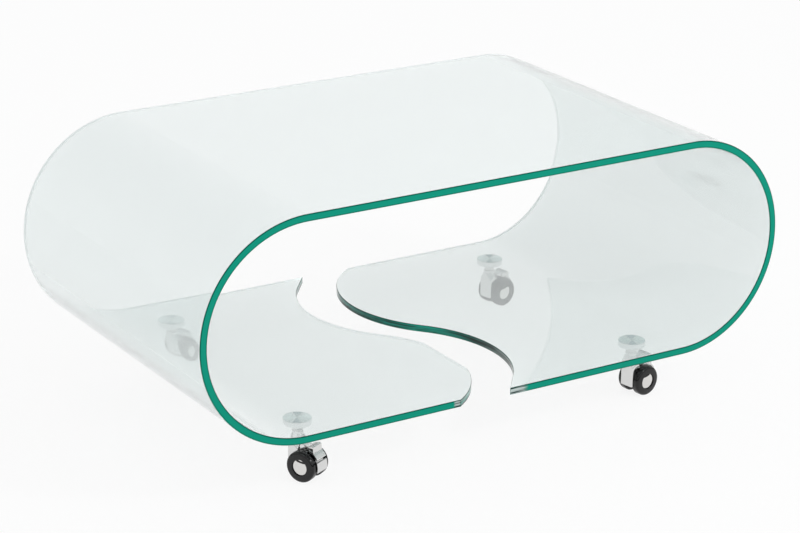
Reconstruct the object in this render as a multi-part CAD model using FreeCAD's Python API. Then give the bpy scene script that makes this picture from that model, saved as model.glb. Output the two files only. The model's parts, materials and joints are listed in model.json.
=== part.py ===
"""Waterfall coffee table: one bent glass loop that stands on four braked twin-wheel castors.

Millimetres, +Z up. X runs along the table and Y across it, and the origin is on the floor below the
middle of the table. A castor is drawn in its own frame, with its swivel axis on Z, its trail along +X
and its axle along Y, and is then turned and moved to its corner.
"""
import FreeCAD, Part
import math
import os

from FreeCAD import Placement, Rotation, Vector

# Glass loop
table_length = 1070.0
table_depth = 600.0
loop_height = 362.0
glass_thickness = 12.0
arris = 0.8                  # polished bevel along every edge of the glass
gap_width = 80.0             # between the two free ends, measured along the table
lobe_swing = 51.0            # how far each lobe of the S stands out from the middle
rim_swing = 40.0             # how far past the middle the S ends at each long side
tip_radius = 4.0             # rounding of the four corners where the gap meets the long sides

# Castor positions, from the ends and the long sides of the table to the swivel axis
castor_inset_x = 217.0
castor_inset_y = 77.0
castor_skew = 10.0           # front pair further left, rear pair further right, as the S is turned
corners = {
    "fl": {"side_x": -1, "side_y": -1, "trail_angle": -64.0},
    "fr": {"side_x": 1, "side_y": -1, "trail_angle": 9.0},
    "rr": {"side_x": 1, "side_y": 1, "trail_angle": 10.0},
    "rl": {"side_x": -1, "side_y": 1, "trail_angle": 25.0},
}

# Castor, from the floor up
castor_height = 88.0         # floor to the underside of the glass
wheel_radius = 25.0
wheel_width = 11.2           # at the rim
wheel_face_crown = 1.3       # rise of the outer face, were it carried to the axle
wheel_edge_radius = 4.5      # rounding of the tread's outer edge
wheel_inner_chamfer = 1.2
wheel_hub_radius = 7.5
wheel_rim_wall = 3.2         # between the tread and the hollow on the inner side
wheel_hollow_depth = 4.5
wheel_rib_width = 1.6
wheel_rib_count = 6
trail = 19.0                 # axle's offset from the swivel axis
axle_radius = 3.0
axle_head_radius = 4.2
axle_head_thickness = 1.4
hub_cap_radius = 11.75
hub_cap_edge = 1.4           # thickness of the cap at its rim
hub_cap_crown = 1.1          # rise of the dome above the rim
hub_cap_recess = 1.2         # depth of the seat below the wheel's rim
hub_spigot_length = 1.2
hub_spigot_wall = 1.0

# Housing
hood_half_width = 9.0
hood_wall = 2.0
hood_bottom = 22.0           # lower edge above the floor
drum_radius = 24.0           # upper shell, about the axle
panel_radius = 26.0          # lower trailing panel, about the axle
panel_start_angle = 68.0     # from straight up, towards the trail
panel_end_angle = 120.0      # below the lower edge
nose_radius = 11.5           # leading side, about the swivel axis
neck_radius = 9.5
neck_height = 67.4           # top of the neck above the floor
flare_top = 56.0
flare_bottom = 46.0
socket_bottom = 41.0         # lower end of the stem's socket
socket_wall = 2.4
axle_boss_radius = 5.5
cheek_ear_radius = 7.0       # cheek around the axle, where it reaches below the lower edge
neck_bevel = 1.0
bridge_drop = 4.0            # top of the bridge between neck and drum, below the flare

# Stem, washer, ring and puck
stem_radius = 5.0
stem_thread_radius = 4.0
stem_thread_length = 7.0
collar_across_flats = 15.0
washer_radius = 8.6
washer_thickness = 1.2
ring_radius = 6.4
ring_thickness = 1.2
ring_opening = 5.0
groove_depth = 1.0
stem_tail = 2.0              # stem left below the ring
puck_radius = 22.5
puck_thickness = 9.0
puck_bevel = 0.6
puck_tap_depth = 7.6
bond_thickness = 0.3
bond_radius = 22.0

# Brake lever, seen from the side, about its own pivot and about the axle
pivot_x = 15.0
pivot_z = 53.5
lever_hub_radius = 3.6
ear_radius = 4.6
pin_radius = 1.5
pad_low_x = 26.0             # start of the rise to the foot pad
pad_tip_x = 36.6
pad_top_z = 59.5
pad_bevel = 1.5
pad_root = 2.0               # overlap of the foot pad with the arm
pad_low_angle = 38.0         # lower corner of the foot pad, about the axle
apron_thickness = 2.2
apron_end_angle = 61.0
shoe_start_angle = 22.0
shoe_end_angle = 33.0
shoe_height = 3.6
shoe_half_width = 14.0       # reaches over both treads
pad_half_width = 8.2
grip_groove_width = 1.0
grip_groove_depth = 0.5
grip_groove_count = 3

# Clearances
running = 0.05               # radial, wheel and lever on their pins
swivel_clearance = 0.08      # radial, stem in its socket
press = 0.02                 # radial, pins and caps held in one body
wheel_side_gap = 0.5         # between a wheel and the housing
axle_end_play = 0.2
thrust_gap = 0.05            # between the washer and the neck
ring_gap = 0.1               # between the ring and the socket
lever_side_gap = 0.4
shoe_gap = 1.5               # between the lifted shoe and the tread
apron_gap = 2.3              # between the lifted apron and the upper shell
cap_gap = 0.25               # radial, cap in its seat
head_gap = 0.6               # between the axle head and the cap's spigot

# Derived places
axle_z = wheel_radius
wheel_inner_y = hood_half_width + wheel_side_gap
wheel_outer_y = wheel_inner_y + wheel_width
bond_bottom = castor_height - bond_thickness
puck_bottom = bond_bottom - puck_thickness
washer_bottom = neck_height + thrust_gap
collar_bottom = washer_bottom + washer_thickness
ring_top = socket_bottom - ring_gap
stem_bottom = ring_top - ring_thickness - stem_tail
shoe_radius = wheel_radius + shoe_gap
apron_radius = drum_radius + apron_gap
cap_seat_y = wheel_outer_y - hub_cap_recess
head_outer_y = cap_seat_y - hub_spigot_length - head_gap
head_inner_y = head_outer_y - axle_head_thickness
counterbore_radius = axle_head_radius + head_gap
overrun = 5.0                # how far a cutting tool runs past what it cuts


def from_axle(radius, angle):
    """Point in the side view, at an angle from straight up towards the trail, about the axle."""
    a = math.radians(angle)
    return Vector(trail + radius * math.sin(a), 0, axle_z + radius * math.cos(a))


def cylinder_y(radius, half_width, x, z):
    """Cylinder along Y, centred on y = 0."""
    return Part.makeCylinder(radius, 2 * half_width, Vector(x, -half_width, z), Vector(0, 1, 0))


def slab(half_width, low_x, high_x, low_z, high_z):
    """Box centred on y = 0."""
    return Part.makeBox(high_x - low_x, 2 * half_width, high_z - low_z, Vector(low_x, -half_width, low_z))


def extrude_side(edges, half_width):
    """Solid from a closed side view in the plane y = 0, as wide on both sides of it."""
    face = Part.Face(Part.Wire(Part.__sortEdges__(edges)))
    face.translate(Vector(0, -half_width, 0))
    return face.extrude(Vector(0, 2 * half_width, 0))


def polygon_edges(points):
    return Part.makePolygon(points + [points[0]]).Edges


def revolve_z(points):
    """Solid of revolution about Z from a closed outline in the plane y = 0."""
    return Part.Face(Part.makePolygon(points + [points[0]])).revolve(Vector(), Vector(0, 0, 1), 360)


# ---------------------------------------------------------------------------------- glass loop
def stadium(length, height, y):
    """Closed outline in an XZ plane: two straight runs joined by half circles, centred on the origin."""
    r = height / 2
    straight = length / 2 - r
    top_left, top_right = Vector(-straight, y, r), Vector(straight, y, r)
    low_left, low_right = Vector(-straight, y, -r), Vector(straight, y, -r)
    return Part.Wire([
        Part.LineSegment(top_left, top_right).toShape(),
        Part.Arc(top_right, Vector(length / 2, y, 0), low_right).toShape(),
        Part.LineSegment(low_right, low_left).toShape(),
        Part.Arc(low_left, Vector(-length / 2, y, 0), top_left).toShape(),
    ])


def s_curve(shift, reach, z):
    """Two equal arcs, tangent to each other at the middle, moved along the table by shift.

    Each arc starts at the middle of the table, swings out by lobe_swing and crosses the long side
    rim_swing past the middle. That gives the lobe's distance from the middle as the root of
    (rim_swing / lobe_swing) d^2 + 2 half_depth d = half_depth^2 + rim_swing (rim_swing + lobe_swing).
    """
    half_depth = table_depth / 2
    share = rim_swing / lobe_swing
    known = half_depth ** 2 + rim_swing * (rim_swing + lobe_swing)
    lobe_place = (math.sqrt(half_depth ** 2 + share * known) - half_depth) / share
    lobe_radius = (lobe_swing ** 2 + lobe_place ** 2) / (2 * lobe_swing)
    end = lobe_swing - lobe_radius + math.sqrt(lobe_radius ** 2 - (reach - lobe_place) ** 2)
    front, middle, back = Vector(end, -reach, z), Vector(0, 0, z), Vector(-end, reach, z)
    move = Vector(shift, 0, 0)
    arcs = [
        Part.Arc(front + move, Vector(lobe_swing, -lobe_place, z) + move, middle + move),
        Part.Arc(middle + move, Vector(-lobe_swing, lobe_place, z) + move, back + move),
    ]
    return [arc.toShape() for arc in arcs], front + move, back + move


def gap_tool(bottom, top):
    """Prism that parts the two free ends of the sheet along their S curves."""
    reach = table_depth / 2 + overrun
    left, left_front, left_back = s_curve(-gap_width / 2, reach, bottom)
    right, right_front, right_back = s_curve(gap_width / 2, reach, bottom)
    ends = [
        Part.LineSegment(left_front, right_front).toShape(),
        Part.LineSegment(left_back, right_back).toShape(),
    ]
    face = Part.Face(Part.Wire(Part.__sortEdges__(left + right + ends)))
    return face.extrude(Vector(0, 0, top - bottom))


def make_glass():
    """The sheet: a ring of constant thickness, parted underneath, with softened corners and edges."""
    half_depth = table_depth / 2
    outer = Part.Face(stadium(table_length, loop_height, -half_depth))
    hole = Part.Face(stadium(table_length - 2 * glass_thickness, loop_height - 2 * glass_thickness,
                             -half_depth))
    loop = outer.cut(hole).extrude(Vector(0, table_depth, 0))
    loop.translate(Vector(0, 0, castor_height + loop_height / 2))
    low, high = castor_height, castor_height + glass_thickness
    loop = loop.cut(gap_tool(low - overrun, high + overrun))

    def on_long_side(vertex):
        return abs(abs(vertex.Y) - half_depth) < 1e-4

    def upright(edge):
        box = edge.BoundBox
        return abs(box.ZLength - glass_thickness) < 1e-3 and box.XLength < 1e-3 and box.YLength < 1e-3

    corners_of_gap = [e for e in loop.Edges if upright(e) and on_long_side(e.Vertexes[0])]
    loop = loop.makeFillet(tip_radius, corners_of_gap)

    def across_table(edge):
        box = edge.BoundBox
        return box.XLength < 1e-3 and box.ZLength < 1e-3

    bevelled = [e for e in loop.Edges if not upright(e) and not across_table(e)]
    return loop.makeChamfer(arris, bevelled)


# ---------------------------------------------------------------------------------- fixed castor pieces
def make_bond_film():
    return Part.makeCylinder(bond_radius, bond_thickness, Vector(0, 0, bond_bottom))


def make_puck():
    """Turned plate with both rims bevelled and a blind tapped hole from below."""
    r, b = puck_radius, puck_bevel
    plate = revolve_z([
        Vector(0, 0, puck_bottom), Vector(r - b, 0, puck_bottom), Vector(r, 0, puck_bottom + b),
        Vector(r, 0, bond_bottom - b), Vector(r - b, 0, bond_bottom), Vector(0, 0, bond_bottom),
    ])
    tap = Part.makeCylinder(stem_thread_radius + press, puck_tap_depth, Vector(0, 0, puck_bottom))
    return plate.cut(tap)


def make_stem():
    """Threaded end, hexagon collar and a plain shank with a groove for the ring."""
    thread = Part.makeCylinder(stem_thread_radius, stem_thread_length, Vector(0, 0, puck_bottom))
    corner_radius = collar_across_flats / 2 / math.cos(math.pi / 6)
    hexagon = [Vector(corner_radius * math.cos(math.radians(60 * i)),
                      corner_radius * math.sin(math.radians(60 * i)), collar_bottom) for i in range(6)]
    collar = Part.Face(Part.makePolygon(hexagon + hexagon[:1]))
    collar = collar.extrude(Vector(0, 0, puck_bottom - collar_bottom))
    shank = Part.makeCylinder(stem_radius, collar_bottom - stem_bottom, Vector(0, 0, stem_bottom))
    groove_height = ring_thickness + ring_gap
    groove_low = ring_top - ring_thickness - ring_gap / 2
    groove = Part.makeCylinder(stem_radius + overrun, groove_height, Vector(0, 0, groove_low))
    groove = groove.cut(Part.makeCylinder(stem_radius - groove_depth, groove_height,
                                          Vector(0, 0, groove_low)))
    return thread.fuse([collar, shank]).removeSplitter().cut(groove)


def make_thrust_washer():
    ring = Part.makeCylinder(washer_radius, washer_thickness, Vector(0, 0, washer_bottom))
    return ring.cut(Part.makeCylinder(stem_radius + press, washer_thickness, Vector(0, 0, washer_bottom)))


def make_retaining_ring():
    """Open snap ring in the stem's groove, under the socket."""
    low = ring_top - ring_thickness
    ring = Part.makeCylinder(ring_radius, ring_thickness, Vector(0, 0, low))
    ring = ring.cut(Part.makeCylinder(stem_radius - groove_depth + press, ring_thickness, Vector(0, 0, low)))
    return ring.cut(slab(ring_opening / 2, 0, ring_radius + overrun, low, ring_top))


# ---------------------------------------------------------------------------------- swivel housing
def hood_form(inset, low_z):
    """Body of the housing between the wheels, set in by one wall thickness for its hollow."""
    half_width = hood_half_width - inset
    drum = cylinder_y(drum_radius - inset, half_width, trail, axle_z)
    fan_angles = panel_start_angle + inset, 90, panel_end_angle
    fan = [Vector(trail, 0, axle_z)] + [from_axle(2 * panel_radius, angle) for angle in fan_angles]
    panel = cylinder_y(panel_radius - inset, half_width, trail, axle_z)
    panel = panel.common(extrude_side(polygon_edges(fan), half_width))
    width = slab(half_width, -2 * nose_radius, trail, low_z, flare_bottom - inset)
    nose = Part.makeCylinder(nose_radius - inset, flare_bottom - inset - low_z, Vector(0, 0, low_z))
    bridge = slab(half_width, 0, trail, low_z, flare_bottom - bridge_drop - inset)
    form = drum.fuse([panel, nose.common(width), bridge])
    below = slab(half_width + overrun, -2 * nose_radius, trail + 2 * panel_radius,
                 -overrun, low_z)
    return form.cut(below).removeSplitter()


def make_hood():
    """Die-cast shell with a neck, a stem socket, axle bosses and two ears for the lever's pin."""
    body = hood_form(0, hood_bottom)
    flare_height = flare_top - flare_bottom
    flare_width = nose_radius - neck_radius
    flare_radius = (flare_height ** 2 + flare_width ** 2) / (2 * flare_width)
    half_turn = math.asin(flare_height / flare_radius) / 2
    flare_middle = Vector(neck_radius + flare_radius * (1 - math.cos(half_turn)), 0,
                          flare_top - flare_radius * math.sin(half_turn))
    outline = [
        Part.LineSegment(Vector(0, 0, flare_bottom), Vector(nose_radius, 0, flare_bottom)).toShape(),
        Part.Arc(Vector(nose_radius, 0, flare_bottom), flare_middle,
                 Vector(neck_radius, 0, flare_top)).toShape(),
        Part.LineSegment(Vector(neck_radius, 0, flare_top),
                         Vector(neck_radius, 0, neck_height - neck_bevel)).toShape(),
        Part.LineSegment(Vector(neck_radius, 0, neck_height - neck_bevel),
                         Vector(neck_radius - neck_bevel, 0, neck_height)).toShape(),
        Part.LineSegment(Vector(neck_radius - neck_bevel, 0, neck_height),
                         Vector(0, 0, neck_height)).toShape(),
        Part.LineSegment(Vector(0, 0, neck_height), Vector(0, 0, flare_bottom)).toShape(),
    ]
    neck = Part.Face(Part.Wire(outline)).revolve(Vector(), Vector(0, 0, 1), 360)
    wheel_top = 2 * wheel_radius
    beside_wheels = slab(2 * nose_radius, -2 * nose_radius, 2 * nose_radius, flare_bottom, wheel_top)
    beside_wheels = beside_wheels.cut(slab(hood_half_width, -2 * nose_radius, 2 * nose_radius,
                                           flare_bottom, wheel_top))
    neck = neck.cut(beside_wheels)
    ears = cylinder_y(ear_radius, hood_half_width, pivot_x, pivot_z).fuse(
        slab(hood_half_width, pivot_x - ear_radius, pivot_x + ear_radius, flare_bottom, pivot_z))
    between_ears = slab(hood_half_width - hood_wall, pivot_x - ear_radius - lever_side_gap,
                        pivot_x + 2 * ear_radius, axle_z + drum_radius, pivot_z + 2 * ear_radius)
    ears = ears.cut(between_ears)
    hollow = hood_form(hood_wall, hood_bottom - overrun)
    socket = Part.makeCylinder(stem_radius + swivel_clearance + socket_wall,
                               flare_bottom - socket_bottom, Vector(0, 0, socket_bottom))
    boss = cylinder_y(axle_boss_radius, hood_half_width, trail, axle_z)
    cheek_ears = cylinder_y(cheek_ear_radius, hood_half_width, trail, axle_z).cut(
        cylinder_y(cheek_ear_radius + overrun, hood_half_width - hood_wall, trail, axle_z))
    shell = body.fuse([neck, ears]).cut(hollow).fuse([socket, boss, cheek_ears])
    stem_bore = Part.makeCylinder(stem_radius + swivel_clearance, neck_height - socket_bottom + 2 * overrun,
                                  Vector(0, 0, socket_bottom - overrun))
    axle_bore = cylinder_y(axle_radius + press, hood_half_width + overrun, trail, axle_z)
    pin_bore = cylinder_y(pin_radius + press, hood_half_width + overrun, pivot_x, pivot_z)
    return shell.cut([stem_bore, axle_bore, pin_bore]).removeSplitter()


def make_axle():
    """Plain pin with both ends peened over into heads."""
    pin = cylinder_y(axle_radius, head_inner_y, trail, axle_z)
    heads = cylinder_y(axle_head_radius, head_outer_y, trail, axle_z).cut(
        cylinder_y(axle_head_radius + overrun, head_inner_y, trail, axle_z))
    return pin.fuse(heads).removeSplitter()


# ---------------------------------------------------------------------------------- wheels and caps
def revolve_axle(edges):
    """Solid of revolution about the axle, from an outline drawn at the axle in the plane z = axle_z."""
    face = Part.Face(Part.Wire(Part.__sortEdges__(edges)))
    return face.revolve(Vector(trail, 0, axle_z), Vector(0, 1, 0), 360)


def at_axle(radius, y):
    return Vector(trail + radius, y, axle_z)


def dome_arc(rim_radius, rim_y, crown, inner_radius):
    """Arc of a shallow dome that rises by crown from its rim to the axle, from the rim inwards."""
    dome_radius = (rim_radius ** 2 + crown ** 2) / (2 * crown)
    centre_y = rim_y + crown - dome_radius
    points = [at_axle(r, centre_y + math.sqrt(dome_radius ** 2 - r ** 2))
              for r in (rim_radius, (rim_radius + inner_radius) / 2, inner_radius)]
    return Part.Arc(*points).toShape(), points[-1]


def wheel_hollow():
    """Ring-shaped hollow on the wheel's inner side, parted by straight ribs."""
    outer = wheel_radius - wheel_rim_wall
    low, high = wheel_inner_y - overrun, wheel_inner_y + wheel_hollow_depth
    corner_points = [at_axle(wheel_hub_radius, low), at_axle(outer, low), at_axle(outer, high),
                     at_axle(wheel_hub_radius, high)]
    ring = revolve_axle(polygon_edges(corner_points))
    rib = Part.makeBox(wheel_radius, high - low, wheel_rib_width,
                       Vector(trail, low, axle_z - wheel_rib_width / 2))
    ribs = [rib.rotated(Vector(trail, 0, axle_z), Vector(0, 1, 0), 360 / wheel_rib_count * i)
            for i in range(wheel_rib_count)]
    return ring.cut(ribs)


def make_wheel():
    """Moulded wheel on the +Y side: domed face, seat for the cap, counterbore and ribbed hollow."""
    r, e, c = wheel_radius, wheel_edge_radius, wheel_inner_chamfer
    bore = axle_radius + running
    seat = hub_cap_radius + cap_gap
    floor_y = head_inner_y - axle_end_play
    edge_centre = at_axle(r - e, wheel_outer_y - e)
    edge_middle = edge_centre + Vector(e, e, 0) * math.sqrt(0.5)
    face, face_end = dome_arc(r - e, wheel_outer_y, wheel_face_crown, seat)
    tread = [
        at_axle(bore, wheel_inner_y), at_axle(r - c, wheel_inner_y), at_axle(r, wheel_inner_y + c),
        at_axle(r, wheel_outer_y - e),
    ]
    middle = [
        face_end, at_axle(seat, cap_seat_y), at_axle(counterbore_radius, cap_seat_y),
        at_axle(counterbore_radius, floor_y), at_axle(bore, floor_y), tread[0],
    ]
    edges = [Part.LineSegment(a, b).toShape() for a, b in zip(tread, tread[1:])]
    edges.append(Part.Arc(tread[-1], edge_middle, at_axle(r - e, wheel_outer_y)).toShape())
    edges.append(face)
    edges += [Part.LineSegment(a, b).toShape() for a, b in zip(middle, middle[1:])]
    return revolve_axle(edges).cut(wheel_hollow())


def make_hub_cap():
    """Domed disc on the +Y side, with a short ring spigot that grips the counterbore."""
    rim_y = cap_seat_y + hub_cap_edge
    spigot = counterbore_radius - press
    spigot_y = cap_seat_y - hub_spigot_length
    dome, crown = dome_arc(hub_cap_radius, rim_y, hub_cap_crown, 0)
    points = [
        crown, at_axle(0, cap_seat_y), at_axle(spigot - hub_spigot_wall, cap_seat_y),
        at_axle(spigot - hub_spigot_wall, spigot_y), at_axle(spigot, spigot_y),
        at_axle(spigot, cap_seat_y), at_axle(hub_cap_radius, cap_seat_y), at_axle(hub_cap_radius, rim_y),
    ]
    lines = [Part.LineSegment(a, b).toShape() for a, b in zip(points, points[1:])]
    return revolve_axle(lines + [dome])


def other_side(shape):
    """The same piece on the -Y side."""
    return shape.mirror(Vector(), Vector(0, 1, 0))


# ---------------------------------------------------------------------------------- brake lever
def sector_edges(inner, outer, start, end):
    """Ring sector in the side view, about the axle."""
    middle = (start + end) / 2
    return [
        Part.Arc(from_axle(inner, start), from_axle(inner, middle), from_axle(inner, end)).toShape(),
        Part.LineSegment(from_axle(inner, end), from_axle(outer, end)).toShape(),
        Part.Arc(from_axle(outer, end), from_axle(outer, middle), from_axle(outer, start)).toShape(),
        Part.LineSegment(from_axle(outer, start), from_axle(inner, start)).toShape(),
    ]


def make_brake_lever():
    """Foot lever: hub, arm, raised pad, apron that follows the housing, and a shoe over both treads."""
    inner_width = hood_half_width - hood_wall - lever_side_gap
    hub = cylinder_y(lever_hub_radius, inner_width, pivot_x, pivot_z)
    shoe_top = shoe_radius + shoe_height
    arm_low = pivot_z - lever_hub_radius
    arm_high = pivot_z + lever_hub_radius
    arm = extrude_side(polygon_edges([
        Vector(pivot_x, 0, arm_low), Vector(pivot_x, 0, arm_high),
        Vector(pad_low_x, 0, arm_high), Vector(pad_low_x, 0, arm_low),
    ]), inner_width)
    tip_low = from_axle(apron_radius + apron_thickness, pad_low_angle)
    pad = extrude_side(polygon_edges([
        Vector(pad_low_x - pad_root, 0, arm_low + pad_root), Vector(pad_low_x - pad_root, 0, arm_high),
        Vector(pad_tip_x - 2 * pad_bevel, 0, pad_top_z), Vector(pad_tip_x, 0, pad_top_z - pad_bevel),
        Vector(pad_tip_x, 0, tip_low.z), from_axle(shoe_radius + shoe_height / 2, shoe_end_angle),
    ]), pad_half_width)
    apron = extrude_side(sector_edges(apron_radius, apron_radius + apron_thickness,
                                      shoe_end_angle, apron_end_angle), pad_half_width)
    shoe = extrude_side(sector_edges(shoe_radius, shoe_top, shoe_start_angle, shoe_end_angle),
                        shoe_half_width)
    lever = hub.fuse([arm, pad, apron, shoe])
    pitch = (pad_tip_x - pad_low_x) / (grip_groove_count + 2)
    rise = (pad_top_z - arm_high) / (pad_tip_x - pad_low_x)
    grooves = []
    for i in range(grip_groove_count):
        x = pad_low_x + pitch * (i + 1)
        z = arm_high + rise * (x - pad_low_x) + grip_groove_depth
        grooves.append(slab(pad_half_width + overrun, x, x + grip_groove_width,
                            z - 2 * grip_groove_depth, z + overrun))
    bore = cylinder_y(pin_radius + running, inner_width + overrun, pivot_x, pivot_z)
    return lever.cut(grooves + [bore]).removeSplitter()


def make_lever_pin():
    return cylinder_y(pin_radius, hood_half_width, pivot_x, pivot_z)


# ---------------------------------------------------------------------------------- assembly
def make_castor():
    """Every piece of one castor, in the castor's own frame."""
    wheel = make_wheel()
    cap = make_hub_cap()
    return {
        "bond_film": make_bond_film(),
        "puck": make_puck(),
        "stem": make_stem(),
        "thrust_washer": make_thrust_washer(),
        "retaining_ring": make_retaining_ring(),
        "hood": make_hood(),
        "axle": make_axle(),
        "wheel_left": wheel,
        "wheel_right": other_side(wheel),
        "hub_cap_left": cap,
        "hub_cap_right": other_side(cap),
        "brake_lever": make_brake_lever(),
        "lever_pin": make_lever_pin(),
    }


def export(shape, node):
    solids = shape.Solids
    whole = solids[0] if len(solids) == 1 else Part.makeCompound(solids)
    whole.exportStep("parts/" + node + ".step")
    print(node, len(solids), whole.isValid(), round(whole.Volume, 1))


os.makedirs("parts", exist_ok=True)
export(make_glass(), "glass_loop")
castor = make_castor()
for name, corner in corners.items():
    x = corner["side_x"] * (table_length / 2 - castor_inset_x) + corner["side_y"] * castor_skew
    y = corner["side_y"] * (table_depth / 2 - castor_inset_y)
    place = Placement(Vector(x, y, 0), Rotation(Vector(0, 0, 1), corner["trail_angle"]))
    for piece, shape in castor.items():
        placed = shape.copy()
        placed.Placement = place.multiply(placed.Placement)
        export(placed, piece + "_" + name)
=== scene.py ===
import json
import math

import bmesh
import bpy
import numpy as np
from mathutils import Matrix, Vector


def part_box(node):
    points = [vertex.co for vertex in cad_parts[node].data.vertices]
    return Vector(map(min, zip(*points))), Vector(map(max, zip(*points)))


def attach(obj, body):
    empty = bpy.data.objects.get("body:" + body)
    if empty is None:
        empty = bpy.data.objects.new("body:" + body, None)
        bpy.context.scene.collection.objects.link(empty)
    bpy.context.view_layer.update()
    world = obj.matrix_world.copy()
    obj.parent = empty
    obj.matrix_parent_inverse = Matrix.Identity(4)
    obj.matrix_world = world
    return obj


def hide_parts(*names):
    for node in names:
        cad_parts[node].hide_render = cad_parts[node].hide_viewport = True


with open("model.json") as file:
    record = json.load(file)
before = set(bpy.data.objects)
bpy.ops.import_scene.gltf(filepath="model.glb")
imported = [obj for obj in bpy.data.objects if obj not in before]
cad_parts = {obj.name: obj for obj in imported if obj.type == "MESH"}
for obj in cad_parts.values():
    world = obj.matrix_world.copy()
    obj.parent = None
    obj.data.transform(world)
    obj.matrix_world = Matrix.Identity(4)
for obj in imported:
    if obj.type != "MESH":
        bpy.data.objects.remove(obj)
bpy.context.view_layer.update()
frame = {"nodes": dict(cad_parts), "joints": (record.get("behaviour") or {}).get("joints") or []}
nodes = frame["nodes"]
joints = {joint["name"]: joint for joint in frame["joints"]}


# ------------------------------------------------------------------ glass sheet
# One sheet of 12 mm float glass, bent hot over a mould at both ends into a loop. Its two free ends come
# back underneath and face each other along an S. The long edges are polished, the ends ground by hand.

glass_low, glass_high = (np.array(corner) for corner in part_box("glass_loop"))
SHEET = 0.012                    # thickness
ARRIS = 0.0008                   # polished bevel
GAP = 0.080                      # between the free ends, along the table
LOBE_SWING = 0.051               # how far each lobe of the S stands out
RIM_SWING = 0.040                # how far past the middle the S ends at the long sides
BLUNTED = 0.041                  # depth over which each sharp tip of the S is ground back
END_LIGHT_REACH, END_LIGHT_GONE = 0.024, 0.036   # how far the painted light runs in streaks from an end, and where it stops
LEFT_FADE = 2.6                  # how much sooner the painted end light stops in the left flap's edges
HALF_DEPTH = (glass_high[1] - glass_low[1]) / 2
BEND = (glass_high[2] - glass_low[2]) / 2 - SHEET / 2      # radius of the sheet's middle in a bend
STRAIGHT = (glass_high[0] - glass_low[0]) / 2 - BEND - SHEET / 2
LOOP_Z = (glass_high[2] + glass_low[2]) / 2
ACROSS, WALL = 121, 5            # points across the sheet and down its side
ROWS_FLAT, ROWS_BEND = 26, 64    # rows along a straight and round a bend
ON_FACE, ON_EDGE, ON_BEVEL, ON_END = range(4)    # finishes, in the order of the sheet's materials


def s_curve(y):
    """Place of the gap's middle at depth y: two equal arcs, one the other turned half a turn.

    Each arc starts at the middle, swings out by LOBE_SWING and ends RIM_SWING past the middle at the
    long side, which gives the distance of its lobe from the middle as the root of a quadratic.
    """
    share = RIM_SWING / LOBE_SWING
    known = HALF_DEPTH ** 2 + RIM_SWING * (RIM_SWING + LOBE_SWING)
    lobe_place = (math.sqrt(HALF_DEPTH ** 2 + share * known) - HALF_DEPTH) / share
    lobe = (LOBE_SWING ** 2 + lobe_place ** 2) / (2 * LOBE_SWING)
    front = LOBE_SWING - lobe + np.sqrt(lobe ** 2 - (np.abs(y) - lobe_place) ** 2)
    return np.where(y < 0, front, -front)


def loop_point(run, lift):
    """Point in the side view after run metres round the loop from below its middle, going by -X.

    The middle of the sheet is a straight, a half circle, two straights, a half circle and a straight;
    lift moves the point out along the sheet's normal.
    """
    arc = math.pi * BEND
    left_turn = np.clip((run - STRAIGHT) / BEND, 0, math.pi)
    right_turn = np.clip((run - 3 * STRAIGHT - arc) / BEND, 0, math.pi)
    turn = left_turn + right_turn
    base_left = np.clip(run, 0, STRAIGHT)
    top = np.clip(run - STRAIGHT - arc, 0, 2 * STRAIGHT)
    base_right = np.clip(run - 3 * STRAIGHT - 2 * arc, 0, None)
    x = top - base_left - base_right - BEND * np.sin(left_turn) + BEND * np.sin(right_turn)
    z = LOOP_Z - BEND * np.cos(turn)
    return x - lift * np.sin(turn), z - lift * np.cos(turn)


def tip_cut(y):
    """How far the left flap's sharp tip is ground back at depth y, from its curve to a straight line.

    The line leaves the curve at its slope there, BLUNTED away from the long side.
    """
    leave = HALF_DEPTH - BLUNTED
    step = 0.001
    slope = (s_curve(leave) - s_curve(leave - step)) / step
    return np.where(y > leave, s_curve(y) - s_curve(leave) - slope * (y - leave), 0)


def sheet_runs(y):
    """Distances round the loop at depth y, from one free end to the other, closer in the bends."""
    arc = math.pi * BEND
    start = GAP / 2 - s_curve(y) + tip_cut(y)
    end = 4 * STRAIGHT + 2 * arc - GAP / 2 - s_curve(y) - tip_cut(-y)
    marks = [start + ARRIS, np.full_like(y, STRAIGHT), np.full_like(y, STRAIGHT + arc),
             np.full_like(y, 3 * STRAIGHT + arc), np.full_like(y, 3 * STRAIGHT + 2 * arc), end - ARRIS]
    parts = [start[None, :]]
    for low, high, count in zip(marks, marks[1:], (ROWS_FLAT, ROWS_BEND) * 2 + (ROWS_FLAT,)):
        share = np.linspace(0, 1, count, endpoint=False)[:, None]
        parts.append(low + share * (high - low))
    return np.concatenate(parts + [marks[-1][None, :], end[None, :]])


def skin_quads(rows, around):
    """Quads between neighbouring rows of a grid whose rows close on themselves, row by row."""
    i, j = np.meshgrid(np.arange(rows - 1), np.arange(around), indexing="ij")
    k = (j + 1) % around
    quads = np.stack([i * around + j, i * around + k, (i + 1) * around + k, (i + 1) * around + j], -1)
    return quads.reshape(-1, 4).tolist()


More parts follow.
